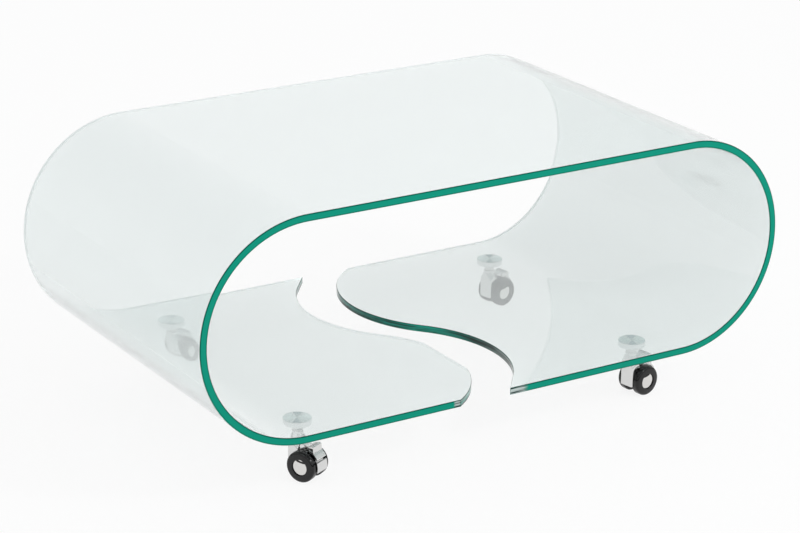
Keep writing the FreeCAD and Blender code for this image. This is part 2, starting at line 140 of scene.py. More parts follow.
def glass_sheet():
    """Section across the sheet, carried round the loop: points, faces, finishes, depth and end distance.

    The section is a long rectangle with bevelled corners. Its first and last rows are drawn in by the
    bevel and closed with a wall, so the free ends get bevels like those of the long sides.
    """
    half = SHEET / 2
    line = np.linspace(-HALF_DEPTH + ARRIS, HALF_DEPTH - ARRIS, ACROSS)
    wall = np.linspace(half - ARRIS, -half + ARRIS, WALL)
    y = np.concatenate([line, np.full(WALL, HALF_DEPTH), line[::-1], np.full(WALL, -HALF_DEPTH)])
    level = np.concatenate([np.full(ACROSS, half), wall, np.full(ACROSS, -half), wall[::-1]])
    runs = sheet_runs(y)
    rows, across = runs.shape
    lift = np.tile(level, (rows, 1))
    lift[[0, -1]] = np.clip(level, -half + ARRIS, half - ARRIS)
    x, z = loop_point(runs, lift)
    points = np.stack([x, np.tile(y, (rows, 1)), z], -1)
    inside = ACROSS + WALL
    front_side = inside + ACROSS
    row, place = np.indices((rows - 1, across))
    inner_rows = (row > 0) & (row < rows - 2)
    on_face = (place < ACROSS - 1) | ((place >= inside) & (place < front_side - 1))
    on_edge = ((place >= ACROSS) & (place < inside - 1)) | ((place >= front_side) & (place < across - 1))
    finish = np.where(inner_rows & on_face, ON_FACE, np.where(inner_rows & on_edge, ON_EDGE, ON_BEVEL))
    outside = np.arange(ACROSS - 1)
    facing = front_side - 1 - outside
    end_wall = np.stack([outside, facing, facing - 1, outside + 1], -1)
    ring = np.concatenate([[0], np.arange(across - 1, front_side - 2, -1)])
    other_ring = np.arange(ACROSS - 1, inside + 1)
    faces = skin_quads(rows, across)
    for first in (0, (rows - 1) * across):
        faces += (end_wall + first).tolist() + [(ring + first).tolist(), (other_ring + first).tolist()]
    finish = np.concatenate([finish.ravel(), np.full(2 * (ACROSS + 1), ON_END)])
    # Distance from the free ends, which sets how far the painted end light reaches.
    from_end = np.minimum((runs - runs[0]) * LEFT_FADE, runs[-1] - runs)
    return points, faces, finish, lift / SHEET + 0.5, from_end


def put_in_scene(name, mesh, sharp):
    """Object at the origin from a mesh, smooth but for creases sharper than the angle in degrees."""
    mesh.polygons.foreach_set("use_smooth", np.ones(len(mesh.polygons), bool))
    mesh.set_sharp_from_angle(angle=math.radians(sharp))
    piece = bpy.data.objects.new(name, mesh)
    bpy.context.scene.collection.objects.link(piece)
    return piece


def make_piece(name, points, faces, finish=None, sharp=30):
    """Piece from points and faces, with its faces turned out."""
    mesh = bpy.data.meshes.new(name)
    mesh.from_pydata(np.asarray(points).reshape(-1, 3).tolist(), [], faces)
    if finish is not None:
        mesh.polygons.foreach_set("material_index", np.asarray(finish, np.int32))
    work = bmesh.new()
    work.from_mesh(mesh)
    bmesh.ops.recalc_face_normals(work, faces=work.faces)
    work.to_mesh(mesh)
    work.free()
    return put_in_scene(name, mesh, sharp)


def new_group(name, inputs, outputs):
    """Empty shader node group with float inputs, its outputs, and its two end nodes."""
    group = bpy.data.node_groups.new(name, "ShaderNodeTree")
    for socket, value in inputs.items():
        made = group.interface.new_socket(socket, in_out="INPUT", socket_type="NodeSocketFloat")
        made.default_value = value
    for socket, kind in outputs.items():
        group.interface.new_socket(socket, in_out="OUTPUT", socket_type=kind)
    return group, group.nodes.new("NodeGroupInput"), group.nodes.new("NodeGroupOutput")


FINER = 7                        # how many times finer the relief's grain is than the roughness's


def hand_finish():
    """Slow and fine noise: a roughness that varies as on a handled surface, and a faint relief."""
    group, given, result = new_group(
        "hand finish", {"Scale": 40, "Roughness": 0.1, "Spread": 0.04},
        {"Roughness": "NodeSocketFloat", "Height": "NodeSocketFloat"})
    place = group.nodes.new("ShaderNodeTexCoord")
    slow = group.nodes.new("ShaderNodeTexNoise")
    slow.inputs["Detail"].default_value = 4
    group.links.new(place.outputs["Object"], slow.inputs["Vector"])
    group.links.new(given.outputs["Scale"], slow.inputs["Scale"])
    shift = group.nodes.new("ShaderNodeMath")
    shift.operation = "SUBTRACT"
    shift.inputs[1].default_value = 0.5
    group.links.new(slow.outputs["Fac"], shift.inputs[0])
    spread = group.nodes.new("ShaderNodeMath")
    spread.operation = "MULTIPLY_ADD"
    spread.use_clamp = True
    group.links.new(shift.outputs[0], spread.inputs[0])
    group.links.new(given.outputs["Spread"], spread.inputs[1])
    group.links.new(given.outputs["Roughness"], spread.inputs[2])
    fine = group.nodes.new("ShaderNodeTexNoise")
    times = group.nodes.new("ShaderNodeMath")
    times.operation = "MULTIPLY"
    times.inputs[1].default_value = FINER
    group.links.new(given.outputs["Scale"], times.inputs[0])
    group.links.new(times.outputs[0], fine.inputs["Scale"])
    group.links.new(place.outputs["Object"], fine.inputs["Vector"])
    group.links.new(spread.outputs[0], result.inputs["Roughness"])
    group.links.new(fine.outputs["Fac"], result.inputs["Height"])
    return group


handled = hand_finish()


def new_material(name, colour, roughness, spread, scale, relief, **constants):
    """Principled material with the hand finish on its roughness and, by relief metres, its surface."""
    material = bpy.data.materials.new(name)
    material.use_nodes = True
    tree = material.node_tree
    shader = tree.nodes["Principled BSDF"]
    shader.inputs["Base Color"].default_value = (*colour, 1)
    for socket, value in constants.items():
        shader.inputs[socket.replace("_", " ")].default_value = value
    finish = tree.nodes.new("ShaderNodeGroup")
    finish.node_tree = handled
    finish.inputs["Scale"].default_value = scale
    finish.inputs["Roughness"].default_value = roughness
    finish.inputs["Spread"].default_value = spread
    tree.links.new(finish.outputs["Roughness"], shader.inputs["Roughness"])
    bump = tree.nodes.new("ShaderNodeBump")
    bump.inputs["Distance"].default_value = relief
    bump.inputs["Strength"].default_value = 1
    tree.links.new(finish.outputs["Height"], bump.inputs["Height"])
    tree.links.new(bump.outputs["Normal"], shader.inputs["Normal"])
    return material


def opened(material):
    """A material's node tree and its shader, for further nodes."""
    return material.node_tree, material.node_tree.nodes["Principled BSDF"]


def colour_stops(ramp, stops):
    """Sets a colour ramp's stops from pairs of place and colour."""
    while len(ramp.elements) < len(stops):
        ramp.elements.new(1)
    for element, (place, colour) in zip(ramp.elements, stops):
        element.position = place
        element.color = (*colour, 1)


def mixed(tree, share, first, second, blend="MIX"):
    """Colour that goes from first to second, or to their product, as the share goes from 0 to 1.

    The share is a number or a socket, and first and second are colours or sockets.
    """
    mix = tree.nodes.new("ShaderNodeMix")
    mix.data_type = "RGBA"
    mix.blend_type = blend
    for socket, given in (("Factor", share), ("A", first), ("B", second)):
        if isinstance(given, tuple):
            mix.inputs[socket].default_value = (*given, 1)
        elif isinstance(given, int):
            mix.inputs[socket].default_value = given
        else:
            tree.links.new(given, mix.inputs[socket])
    return mix.outputs["Result"]


def seen_from_inside(tree, outer, inner):
    """Colour that is outer on the air side of a face and inner where it is seen through the glass."""
    side = tree.nodes.new("ShaderNodeNewGeometry")
    return mixed(tree, side.outputs["Backfacing"], outer, inner)


def edge_depth(tree, stops):
    """Colour by the place in the sheet's thickness, from its inner face to its outer face."""
    depth = tree.nodes.new("ShaderNodeAttribute")
    depth.attribute_name = "depth"
    ramp = tree.nodes.new("ShaderNodeValToRGB")
    colour_stops(ramp.color_ramp, stops)
    tree.links.new(depth.outputs["Fac"], ramp.inputs["Fac"])
    return ramp.outputs["Color"]


STREAK_STRETCH = (14, 14, 240)   # grains to the metre along the table, across it and up
STREAK_LEAN = 0.12               # radians


def grinding_and_light_streaks():
    """Noise drawn out along the sheet and leaning a little: a mask of long streaks."""
    group, given, result = new_group(
        "ground streaks", {"Scale": 1, "Detail": 3}, {"Streak": "NodeSocketFloat"})
    place = group.nodes.new("ShaderNodeTexCoord")
    stretch = group.nodes.new("ShaderNodeMapping")
    stretch.inputs["Scale"].default_value = STREAK_STRETCH
    stretch.inputs["Rotation"].default_value = (0, STREAK_LEAN, 0)
    noise = group.nodes.new("ShaderNodeTexNoise")
    group.links.new(place.outputs["Object"], stretch.inputs["Vector"])
    group.links.new(stretch.outputs["Vector"], noise.inputs["Vector"])
    for socket in ("Scale", "Detail"):
        group.links.new(given.outputs[socket], noise.inputs[socket])
    group.links.new(noise.outputs["Fac"], result.inputs["Streak"])
    return group


streaked = grinding_and_light_streaks()


def streak_colour(tree, dark, light):
    """Colour that goes from dark to light over the streaks of grinding and painted light."""
    streaks = tree.nodes.new("ShaderNodeGroup")
    streaks.node_tree = streaked
    contrast = tree.nodes.new("ShaderNodeValToRGB")
    colour_stops(contrast.color_ramp, [(0.40, dark), (0.60, light)])
    tree.links.new(streaks.outputs["Streak"], contrast.inputs["Fac"])
    return contrast.outputs["Color"]


BLACK, PALE = (0, 0, 0), (0.95, 0.98, 0.975)     # PALE is an edge's painted look through the glass and the colour of its painted glow
EDGE_GLOW = 0.35                 # painted glow of the edges where seen from inside, in place of light that the sheet pipes to them
GLASS_IOR = 1.52

glass_face = new_material(
    "bent float glass", (0.94, 0.99, 0.985), roughness=0.0, spread=0.01, scale=3, relief=2e-6,
    IOR=GLASS_IOR, Transmission_Weight=0.79, Specular_IOR_Level=0.35)

glass_edge = new_material(
    "polished glass edge", BLACK, roughness=0.06, spread=0.04, scale=60, relief=1e-5,
    IOR=GLASS_IOR, Specular_IOR_Level=0.05, Emission_Strength=EDGE_GLOW)
tree, shader = opened(glass_edge)
# The edge's green, with painted shade: dark lines along both faces of the sheet.
edge_green_painted_dark_lines = edge_depth(tree, [
    (0.08, (0.0, 0.12, 0.08)), (0.22, (0.004, 0.28, 0.19)), (0.78, (0.004, 0.28, 0.19)),
    (0.92, (0.0, 0.12, 0.08))])
# Painted light: near the free ends the polished edge is painted pale in streaks.
end_place = tree.nodes.new("ShaderNodeAttribute")
end_place.attribute_name = "from end"
near_end = tree.nodes.new("ShaderNodeMapRange")
near_end.interpolation_type = "SMOOTHSTEP"
near_end.inputs["From Min"].default_value = END_LIGHT_GONE
near_end.inputs["From Max"].default_value = END_LIGHT_REACH
tree.links.new(end_place.outputs["Fac"], near_end.inputs["Value"])
painted_end_light = streak_colour(tree, (0.008, 0.03, 0.026), (0.50, 0.58, 0.56))
polish = mixed(tree, near_end.outputs["Result"], edge_green_painted_dark_lines, painted_end_light)
tree.links.new(seen_from_inside(tree, polish, PALE), shader.inputs["Base Color"])
# Painted glow: the edge gives off pale light where it is seen from inside the glass.
tree.links.new(seen_from_inside(tree, BLACK, PALE), shader.inputs["Emission Color"])

# Painted shade by which way a bevel leans: one that leans upward is painted dark for the depth of the
# sheet seen through it, one that leans downward is painted clear.
glass_arris = new_material(
    "polished glass bevel", BLACK, roughness=0.1, spread=0.04, scale=60, relief=1e-5,
    IOR=GLASS_IOR, Specular_IOR_Level=0.05, Emission_Strength=EDGE_GLOW)
tree, shader = opened(glass_arris)
facing = tree.nodes.new("ShaderNodeNewGeometry")
lean = tree.nodes.new("ShaderNodeSeparateXYZ")
tree.links.new(facing.outputs["True Normal"], lean.inputs["Vector"])
shade = tree.nodes.new("ShaderNodeMapRange")
shade.inputs["From Min"].default_value = 0.5
shade.inputs["From Max"].default_value = -0.5
tree.links.new(lean.outputs["Z"], shade.inputs["Value"])
painted_lean_shade = tree.nodes.new("ShaderNodeValToRGB")
colour_stops(painted_lean_shade.color_ramp, [
    (0.0, (0.0, 0.070, 0.048)), (0.5, (0.0, 0.10, 0.07)), (1.0, (0.06, 0.34, 0.25))])
tree.links.new(shade.outputs["Result"], painted_lean_shade.inputs["Fac"])
tree.links.new(seen_from_inside(tree, painted_lean_shade.outputs["Color"], PALE), shader.inputs["Base Color"])
# Painted glow: the bevel gives off pale light where it is seen from inside the glass.
tree.links.new(seen_from_inside(tree, BLACK, PALE), shader.inputs["Emission Color"])

# The ends along the S are ground by hand, so they run in streaks. The left flap's wall is green with
# painted shade, darker towards the sheet's outer face; the right one has painted light and shade along the
# table's depth, grey near the long sides with dark and bright green bands between.
ground_edge = new_material(
    "hand ground glass edge", BLACK, roughness=0.12, spread=0.08, scale=60, relief=3e-5,
    IOR=GLASS_IOR, Specular_IOR_Level=0.3, Emission_Strength=EDGE_GLOW)
tree, shader = opened(ground_edge)
place = tree.nodes.new("ShaderNodeTexCoord")
along = tree.nodes.new("ShaderNodeSeparateXYZ")
tree.links.new(place.outputs["Object"], along.inputs["Vector"])
middle = tree.nodes.new("ShaderNodeMapRange")
middle.inputs["From Min"].default_value = -HALF_DEPTH
middle.inputs["From Max"].default_value = HALF_DEPTH
tree.links.new(along.outputs["Y"], middle.inputs["Value"])
painted_light_across_table = tree.nodes.new("ShaderNodeValToRGB")
colour_stops(painted_light_across_table.color_ramp, [
    (0.0, (0.30, 0.36, 0.345)), (0.18, (0.16, 0.20, 0.19)), (0.36, (0.006, 0.075, 0.06)),
    (0.50, (0.0, 0.30, 0.21)), (0.62, (0.0, 0.16, 0.12)), (0.82, (0.05, 0.16, 0.14)),
    (1.0, (0.30, 0.36, 0.345))])
tree.links.new(middle.outputs["Result"], painted_light_across_table.inputs["Fac"])
facing = tree.nodes.new("ShaderNodeNewGeometry")
side = tree.nodes.new("ShaderNodeSeparateXYZ")
tree.links.new(facing.outputs["True Normal"], side.inputs["Vector"])
left_flap = tree.nodes.new("ShaderNodeMath")     # its end faces +X
left_flap.operation = "GREATER_THAN"
left_flap.inputs[1].default_value = 0
tree.links.new(side.outputs["X"], left_flap.inputs[0])
left_green_and_painted_shade = edge_depth(tree, [
    (0.10, (0.30, 0.42, 0.39)), (0.45, (0.10, 0.30, 0.25)), (0.80, (0.01, 0.22, 0.165)),
    (0.92, (0.0, 0.06, 0.045))])
tone = mixed(tree, left_flap.outputs[0], painted_light_across_table.outputs["Color"], left_green_and_painted_shade)
uneven = mixed(tree, 1, tone, streak_colour(tree, (0.30, 0.36, 0.36), (1.35, 1.3, 1.3)), "MULTIPLY")
tree.links.new(seen_from_inside(tree, uneven, PALE), shader.inputs["Base Color"])
# Painted glow: the ground end gives off pale light where it is seen from inside the glass.
tree.links.new(seen_from_inside(tree, BLACK, PALE), shader.inputs["Emission Color"])

points, faces, finish, depths, from_end = glass_sheet()
sheet = make_piece("glass_sheet", points, faces, finish)
for name, values in (("depth", depths), ("from end", from_end)):
    sheet.data.attributes.new(name, "FLOAT", "POINT").data.foreach_set(
        "value", values.ravel().astype(np.float32))
for material in (glass_face, glass_edge, glass_arris, ground_edge):
    sheet.data.materials.append(material)
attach(sheet, "table")
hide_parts("glass_loop")


# ------------------------------------------------------------------ where the castors stand
# Four braked twin-wheel castors, each turned its own way on its swivel. A castor is drawn with its
# swivel axis on Z and its trail along +X, then turned and moved to its corner.

corners = {}
for corner in ("fl", "fr", "rr", "rl"):
    swivel_x, swivel_y = joints[f"swivel_{corner}_turn"]["pos_m"][:2]
    axle_x, axle_y = joints[f"left_wheel_{corner}_roll"]["axis"][:2]
    corners[corner] = swivel_x, swivel_y, math.atan2(-axle_x, axle_y)


def at_corner(points, corner):
    """Points of a castor turned about Z by its trail's angle and moved to its swivel axis."""
    x, y, angle = corners[corner]
    along, across, up = np.moveaxis(np.asarray(points), -1, 0)
    return np.stack([x + along * math.cos(angle) - across * math.sin(angle),
                     y + along * math.sin(angle) + across * math.cos(angle), up], -1)


# ------------------------------------------------------------------ pucks
# Turned steel discs, glued to the underside of the glass. The clear film joins face and glass without
# a gap, so the face is drawn a hair inside the sheet. The shine of the lathe's fine rings is painted into
# its colour: two dark fans at fixed angles round the axis, a white highlight line at their edges and
# bright fans between.

PUCK_RADIUS = 0.0225
PUCK_BEVEL = 0.0006
FACE_INSIDE = 0.00005
PUCK_TOP = glass_low[2] + FACE_INSIDE
PUCK_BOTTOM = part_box("puck_fl")[0].z
TURN_STEPS = 128
PAINTED_SHADE_TURN = 0.159               # where on the turn the painted shade is darkest
PAINTED_FAN_REACH = 0.25               # share of a turn from there to the middle of a painted bright fan


def revolve(profile, steps):
    """Profile of (distance from the axis, height) pairs carried round Z by even angles.

    Returns points on a grid of profile by angle, quads, and each quad corner's share of a full turn.
    """
    radius, height = np.asarray(profile).T
    angle = np.linspace(0, 2 * math.pi, steps + 1)
    points = np.stack([np.outer(radius, np.cos(angle)), np.outer(radius, np.sin(angle)),
                       np.tile(height[:, None], (1, steps + 1))], -1)
    i, j = np.meshgrid(np.arange(len(radius) - 1), np.arange(steps), indexing="ij")
    step = steps + 1
    quads = np.stack([i * step + j, i * step + j + 1, (i + 1) * step + j + 1, (i + 1) * step + j], -1)
    turns = np.stack([j, j + 1, j + 1, j], -1) / steps
    return points, quads.reshape(-1, 4), turns.reshape(-1, 4)


def make_turned(name, points, quads, turns, finish=None, sharp=25):
    """Piece from a revolved grid, with its seam and poles merged and a map that runs round the axis."""
    mesh = bpy.data.meshes.new(name)
    mesh.from_pydata(points.reshape(-1, 3).tolist(), [], quads.tolist())
    around = mesh.uv_layers.new(name="round the axis")
    across = np.tile([0, 0, 1, 1], (len(quads), 1)) + (quads[:, :1] // points.shape[1])
    around.data.foreach_set("uv", np.stack([turns, across], -1).ravel().astype(np.float32))
    if finish is not None:
        mesh.polygons.foreach_set("material_index", np.asarray(finish, np.int32))
    work = bmesh.new()
    work.from_mesh(mesh)
    bmesh.ops.remove_doubles(work, verts=work.verts, dist=1e-7)
    bmesh.ops.recalc_face_normals(work, faces=work.faces)
    work.to_mesh(mesh)
    work.free()
    return put_in_scene(name, mesh, sharp)


polished = new_material(
    "bright steel", (0.74, 0.76, 0.76), roughness=0.10, spread=0.05, scale=150, relief=1e-5, Metallic=1)
turned = new_material(
    "turned steel face", (0.80, 0.90, 0.90), roughness=0.20, spread=0.05, scale=150, relief=2e-6,
    Metallic=1, Anisotropic=0.9, Anisotropic_Rotation=0.25)
tree, shader = opened(turned)
lathe = tree.nodes.new("ShaderNodeTangent")
lathe.direction_type = "UV_MAP"
lathe.uv_map = "round the axis"
tree.links.new(lathe.outputs["Tangent"], shader.inputs["Tangent"])
around = tree.nodes.new("ShaderNodeUVMap")
around.uv_map = "round the axis"
turn_share = tree.nodes.new("ShaderNodeSeparateXYZ")
tree.links.new(around.outputs["UV"], turn_share.inputs["Vector"])
rays = tree.nodes.new("ShaderNodeTexNoise")
rays.noise_dimensions = "1D"
rays.inputs["Scale"].default_value = 26
rays.inputs["Detail"].default_value = 2
tree.links.new(turn_share.outputs["X"], rays.inputs["W"])
wedge = tree.nodes.new("ShaderNodeMath")
wedge.operation = "PINGPONG"
wedge.inputs[1].default_value = PAINTED_FAN_REACH
from_wedge = tree.nodes.new("ShaderNodeMath")
from_wedge.operation = "SUBTRACT"
from_wedge.inputs[1].default_value = PAINTED_SHADE_TURN
tree.links.new(turn_share.outputs["X"], from_wedge.inputs[0])
tree.links.new(from_wedge.outputs[0], wedge.inputs[0])
# Painted light: dark fans, a painted white highlight line and bright fans by angle round the axis.
painted_fan_light = tree.nodes.new("ShaderNodeValToRGB")
colour_stops(painted_fan_light.color_ramp, [
    (0.0, (0.60, 0.72, 0.72)), (0.055, (0.62, 0.74, 0.74)), (0.066, (1.0, 1.0, 1.0)),
    (0.085, (0.88, 0.97, 0.96)), (0.25, (0.86, 0.95, 0.94))])
tree.links.new(wedge.outputs[0], painted_fan_light.inputs["Fac"])
ray_tone = tree.nodes.new("ShaderNodeValToRGB")
colour_stops(ray_tone.color_ramp, [(0.35, (0.86, 0.88, 0.88)), (0.65, (1.06, 1.05, 1.05))])
tree.links.new(rays.outputs["Fac"], ray_tone.inputs["Fac"])
tree.links.new(mixed(tree, 1, painted_fan_light.outputs["Color"], ray_tone.outputs["Color"], "MULTIPLY"),
               shader.inputs["Base Color"])

rim = PUCK_RADIUS - PUCK_BEVEL
puck_profile = [(0, PUCK_BOTTOM), (rim, PUCK_BOTTOM), (PUCK_RADIUS, PUCK_BOTTOM + PUCK_BEVEL),
                (PUCK_RADIUS, PUCK_TOP - PUCK_BEVEL), (rim, PUCK_TOP), (0, PUCK_TOP)]
points, quads, turns = revolve(puck_profile, TURN_STEPS)
on_top = np.repeat([0, 0, 0, 0, 1], TURN_STEPS)
for corner in corners:
    swivel_x, swivel_y = corners[corner][:2]
    puck = make_turned(f"turned_puck_{corner}", points + (swivel_x, swivel_y, 0), quads, turns, on_top)
    puck.data.materials.append(polished)
    puck.data.materials.append(turned)
    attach(puck, "table")
    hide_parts(f"puck_{corner}", f"bond_film_{corner}")


# ------------------------------------------------------------------ stems, housings and foot levers
# The stem is a plated steel pin with a hexagon collar. Housing and lever are zinc die castings with
# softly rounded edges, polished and chrome plated. The housing's nose and trailing panel are wider than
# the web between the wheels and cover both treads, before and behind.

swivel_x, swivel_y, trail_angle = corners["fr"]
wheel_x, wheel_y, AXLE_Z = joints["left_wheel_fr_roll"]["pos_m"]
TRAIL = (wheel_x - swivel_x) * math.cos(trail_angle) + (wheel_y - swivel_y) * math.sin(trail_angle)
SHELL_HALF_WIDTH = 0.013
SHELL_LOW = 0.018                # lower edge of nose and panel
NOSE_REACH = 0.0095
NOSE_CORNER = 0.003
TAPER_LOW, TAPER_HIGH = 0.049, 0.063     # where the nose draws in to the round neck
NOSE_ROWS, TAPER_ROWS, PANEL_STEPS = 12, 24, 15
NECK_RADIUS = 0.00945
ARCH_RADIUS = 0.0258             # clearance round the treads
PANEL_INNER, PANEL_RADIUS = ARCH_RADIUS + 0.0003, 0.0278
PANEL_START, PANEL_END = 68, 104.5       # degrees from straight up, towards the trail
WEB_BEHIND_NOSE = 0.0005         # how far the web stays behind the nose's front
PAD_START = 0.0265               # where the lever's foot pad begins, along the trail
ARM_HALF_WIDTH, PAD_HALF_WIDTH = 0.0075, 0.009   # the pad lies between these, and is drawn out
PAD_SPREAD = 1.46
SHOE_HALF_WIDTH = 0.0124
APRON_START, APRON_UNDERSIDE = math.radians(34), 0.0264  # angle and distance about the axle
APRON_LIFT = 1.037               # holds the apron off both treads
STEM_EDGE, CAST_EDGE, LEVER_EDGE = 0.0002, 0.0004, 0.0003    # roundings of edges


def round_edges(piece, width, sharp=32):
    """Rounds a piece's edges that are sharper than the angle, by width."""
    bevel = piece.modifiers.new("rounded edges", "BEVEL")
    bevel.width = width
    bevel.segments = 2
    bevel.limit_method = "ANGLE"
    bevel.angle_limit = math.radians(sharp)
    bevel.harden_normals = True


def softened(name, node, width, sharp=32):
    """Copy of a solid's mesh: doubles merged, flat faces joined, shaded smooth, edges rounded by width."""
    mesh = nodes[node].data.copy()
    mesh.name = name
    mesh.materials.clear()
    work = bmesh.new()
    work.from_mesh(mesh)
    bmesh.ops.remove_doubles(work, verts=work.verts, dist=1e-6)
    bmesh.ops.dissolve_limit(work, angle_limit=math.radians(0.2), verts=work.verts, edges=work.edges)
    work.to_mesh(mesh)
    work.free()
    piece = put_in_scene(name, mesh, sharp)
    round_edges(piece, width, sharp)
    return piece


def in_castor(mesh, corner):
    """A mesh's points in its castor's own directions: along the trail, across it and up."""
    points = np.empty(3 * len(mesh.vertices), np.float32)
    mesh.vertices.foreach_get("co", points)
    x, y, angle = corners[corner]
    east, north, up = points.reshape(-1, 3).T.astype(float) - np.array([[x], [y], [0]])
    return (east * math.cos(angle) + north * math.sin(angle),
            north * math.cos(angle) - east * math.sin(angle), up)


def nose_shell():
    """Nose, taper and neck as one outline at each height.

    The outline is a rectangle with two rounded corners in front. Its back follows the wheel arch, a
    circle about the axle. Above TAPER_LOW no point is further from the swivel axis than a cone allows.
    """
    front, corner, side, back = 11, 7, 10, 13    # points on each stretch of the outline
    bend = np.linspace(math.pi, math.pi / 2, corner)
    corner_x = NOSE_CORNER - NOSE_REACH + NOSE_CORNER * np.cos(bend)
    corner_y = SHELL_HALF_WIDTH - NOSE_CORNER + NOSE_CORNER * np.sin(bend)
    front_y = np.linspace(-corner_y[0], corner_y[0], front + 2)[1:-1]
    share = np.linspace(0, 1, side + 1)[1:]
    back_y = np.linspace(SHELL_HALF_WIDTH, -SHELL_HALF_WIDTH, back + 2)[1:-1]
    fixed_x = np.concatenate([np.full(front, -NOSE_REACH), corner_x, (1 - share) * corner_x[-1],
                              np.zeros(back), (1 - share[::-1]) * corner_x[-1], corner_x[::-1]])
    back_share = np.concatenate([np.zeros(front + corner), share, np.ones(back), share[::-1],
                                 np.zeros(corner)])
    y = np.concatenate([front_y, corner_y, np.full(side, SHELL_HALF_WIDTH), back_y,
                        np.full(side, -SHELL_HALF_WIDTH), -corner_y[::-1]])
    height = np.concatenate([np.linspace(SHELL_LOW, TAPER_LOW, NOSE_ROWS),
                             np.linspace(TAPER_LOW, TAPER_HIGH, TAPER_ROWS)[1:]])
    arch = TRAIL - np.sqrt(np.clip(ARCH_RADIUS ** 2 - (height - AXLE_Z) ** 2, 0, None))
    back_x = np.where(height < TAPER_LOW, np.minimum(arch, NOSE_REACH), NOSE_REACH)
    x = fixed_x + back_share * back_x[:, None]
    y = np.tile(y, (len(height), 1))
    widest = math.hypot(NOSE_REACH, SHELL_HALF_WIDTH)
    cone = np.interp(height, [TAPER_LOW, TAPER_HIGH], [widest, NECK_RADIUS])[:, None]
    drawn_in = np.minimum(1, cone / np.hypot(x, y))
    points = np.stack([x * drawn_in, y * drawn_in, np.tile(height[:, None], (1, x.shape[1]))], -1)
    rows, around = x.shape
    ends = [list(range(around)), list(range((rows - 1) * around, rows * around))]
    return points, skin_quads(rows, around) + ends


def trailing_panel():
    """Ring sector about the axle in the side view, drawn straight across both treads."""
    angle = np.radians(np.linspace(PANEL_START, PANEL_END, PANEL_STEPS))
    loop = np.concatenate([angle, angle[::-1]])
    radius = np.repeat([PANEL_RADIUS, PANEL_INNER], PANEL_STEPS)
    side = np.stack([TRAIL + radius * np.sin(loop), np.zeros_like(loop),
                     AXLE_Z + radius * np.cos(loop)], -1)
    points = np.stack([side + (0, width, 0) for width in (-SHELL_HALF_WIDTH, SHELL_HALF_WIDTH)])
    around = len(loop)
    j = np.arange(around)
    skin = np.stack([j, (j + 1) % around, around + (j + 1) % around, around + j], -1)
    j = np.arange(PANEL_STEPS - 1)
    wall = np.stack([j, j + 1, around - 2 - j, around - 1 - j], -1)
    return points, np.concatenate([skin, wall, wall + around]).tolist()


chrome = new_material(
    "chromed die casting", (0.69, 0.69, 0.685), roughness=0.06, spread=0.05, scale=120, relief=4e-6,
    Metallic=1)

for corner in corners:
    for name, node, body, width, slot in (
            ("plated_stem", "stem", "table", STEM_EDGE, "plated_steel"),
            ("chromed_web", "hood", f"swivel_{corner}", CAST_EDGE, "chromed_zinc"),
            ("foot_lever", "brake_lever", f"brake_{corner}", LEVER_EDGE, "chromed_zinc")):
        piece = softened(f"{name}_{corner}", f"{node}_{corner}", width)
        along, across, up = in_castor(piece.data, corner)
        if node == "hood":
            along = np.maximum(along, WEB_BEHIND_NOSE - NOSE_REACH)
        if node == "brake_lever":
            in_pad = (np.abs(across) > ARM_HALF_WIDTH) & (np.abs(across) < PAD_HALF_WIDTH)
            spread = np.where(in_pad, across * PAD_SPREAD,
                              np.clip(across, -SHOE_HALF_WIDTH, SHOE_HALF_WIDTH))
            across = np.where(along > PAD_START, spread, across)
            from_top = np.arctan2(along - TRAIL, up - AXLE_Z)
            in_apron = (from_top > APRON_START) | (np.hypot(along - TRAIL, up - AXLE_Z) < APRON_UNDERSIDE)
            lift = np.where((along > PAD_START) & in_apron, APRON_LIFT, 1)
            along, up = TRAIL + (along - TRAIL) * lift, AXLE_Z + (up - AXLE_Z) * lift
        moved = at_corner(np.stack([along, across, up], -1), corner)
        piece.data.vertices.foreach_set("co", moved.astype(np.float32).ravel())
        piece.data.materials.append(chrome)
        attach(piece, body)
        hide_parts(f"{node}_{corner}")
    for name, (points, faces) in (("chromed_nose", nose_shell()), ("chromed_panel", trailing_panel())):
        piece = make_piece(f"{name}_{corner}", at_corner(points, corner), faces)
        round_edges(piece, CAST_EDGE)
        piece.data.materials.append(chrome)
        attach(piece, f"swivel_{corner}")


# ------------------------------------------------------------------ wheels and hub caps
# Each wheel is moulded in glossy black nylon, hollow and ribbed on its inner side. A thin domed and
# chromed cap is pressed into a seat in the face over the axle end.

WHEEL_RADIUS = 0.025
WHEEL_INNER, WHEEL_OUTER = 0.0095, 0.0227        # from the middle of the castor
TREAD_ROUNDING, INNER_CHAMFER = 0.0045, 0.0012
FACE_CROWN = 0.0013
BORE = 0.00305
HUB_RADIUS = 0.0075
HOLLOW_RADIUS, HOLLOW_DEPTH = 0.0218, 0.0060
RIB_COUNT, RIB_WIDTH = 6, 0.0016
RIB_BITE, RIB_SET_BACK = 0.0003, 0.0006  # how far a rib runs into the wheel, and behind its inner side
SEAT_RADIUS, SEAT_DEPTH, SEAT_LIP = 0.01315, 0.0020, 0.0008
CAP_RADIUS, CAP_EDGE, CAP_CROWN = 0.0129, 0.0012, 0.0023
CAP_RIM = 0.0003                 # bevel between the cap's edge and its dome


def dome(outer, inner, rise, steps):
    """Arc that rises from radius outer towards the axis, by rise were it carried there, up to inner."""
    ball = (outer ** 2 + rise ** 2) / (2 * rise)
    radius = np.linspace(outer, inner, steps)
    return np.stack([radius, rise - ball + np.sqrt(ball ** 2 - radius ** 2)], -1)


def quarter(radius, start, steps):
    """Quarter circle about the origin, from the angle start and turning left."""
    angle = np.linspace(start, start + math.pi / 2, steps)
    return radius * np.stack([np.cos(angle), np.sin(angle)], -1)


